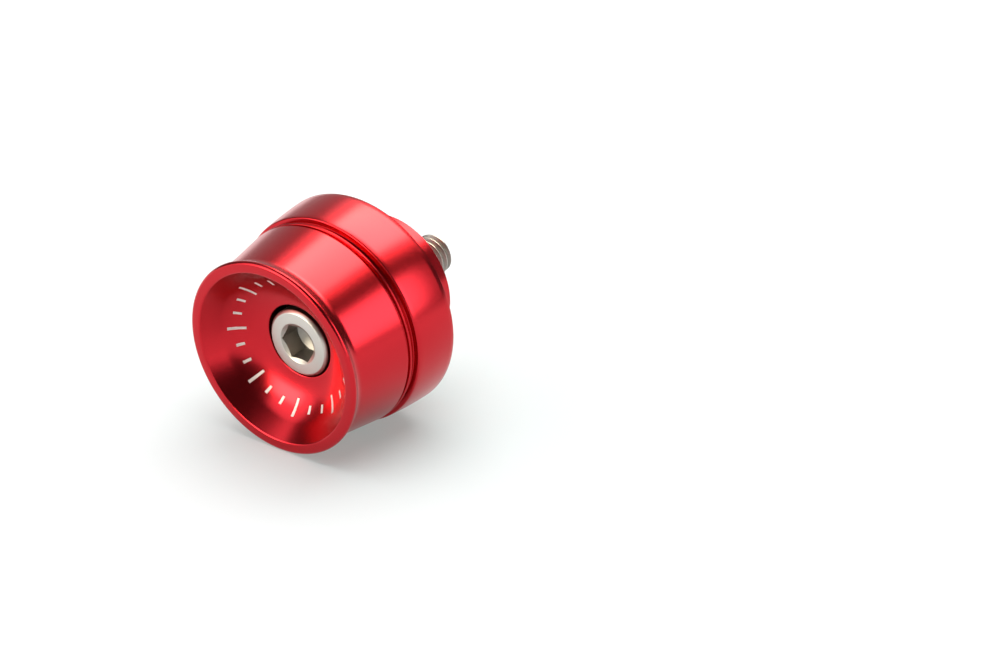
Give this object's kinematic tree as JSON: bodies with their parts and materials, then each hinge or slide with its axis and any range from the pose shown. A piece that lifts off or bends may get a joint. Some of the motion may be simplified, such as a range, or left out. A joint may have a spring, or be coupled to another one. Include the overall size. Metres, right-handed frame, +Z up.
{
  "type": "bar end weight",
  "caption": "Turned, red anodised handlebar end weight with a flared lip, a bowl, fine grooves and a socket head cap screw.",
  "frame": {"origin": "centre of the flat seat that meets the handlebar's end, on the turning axis", "axes": "+Z up as the part lies on the rim of its lip and the edge of its ring; the lip faces -Y and dips about 5 degrees, and the thread points along +Y"},
  "size_m": [0.032, 0.038, 0.032],
  "materials": {
    "red_anodised_aluminium": "turned, bead smooth, bright dyed anodising",
    "stainless_steel": "plain A2 stainless, cold formed and rolled"
  },
  "bodies": {
    "root": {"weight_body": "red_anodised_aluminium", "cap_screw": "stainless_steel"}
  },
  "joints": []
}
